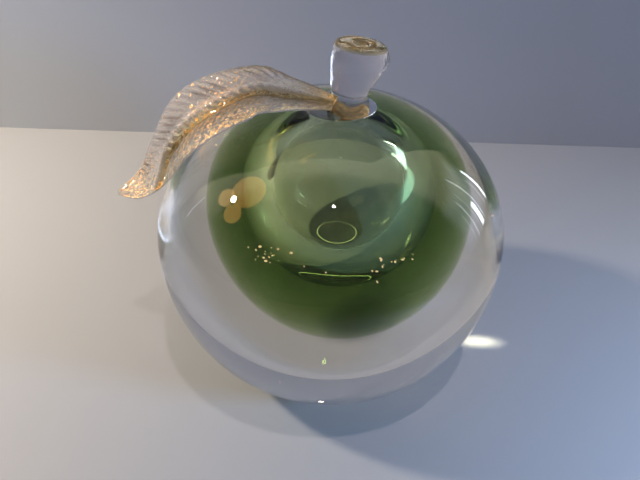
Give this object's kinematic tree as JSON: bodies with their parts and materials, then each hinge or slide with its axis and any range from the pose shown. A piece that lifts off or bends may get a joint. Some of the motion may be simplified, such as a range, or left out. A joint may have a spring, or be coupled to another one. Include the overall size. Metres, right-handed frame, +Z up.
{
  "type": "glass apple ornament",
  "caption": "Solid glass apple paperweight: clear casing over green inner glass with a trapped air bubble, a clear stem and an arched clear leaf with gold foil sealed in it.",
  "frame": {"origin": "centre of the ground flat base, on the floor", "axes": "+Z up along the body's axis, -X towards the leaf, -Y towards the front that the leaf's stalk wraps over"},
  "size_m": [0.1107, 0.1, 0.1029],
  "materials": {
    "clear_glass": "fire-polished",
    "green_glass": "clear green",
    "leaf_glass": "fire-polished, pressed ribs",
    "gold_foil": "broken leaf"
  },
  "bodies": {
    "root": {"clear_casing": "clear_glass", "green_core": "green_glass", "stem": "clear_glass", "leaf_stalk": "leaf_glass", "leaf_blade": "leaf_glass", "leaf_gold_foil": "gold_foil"}
  },
  "joints": []
}
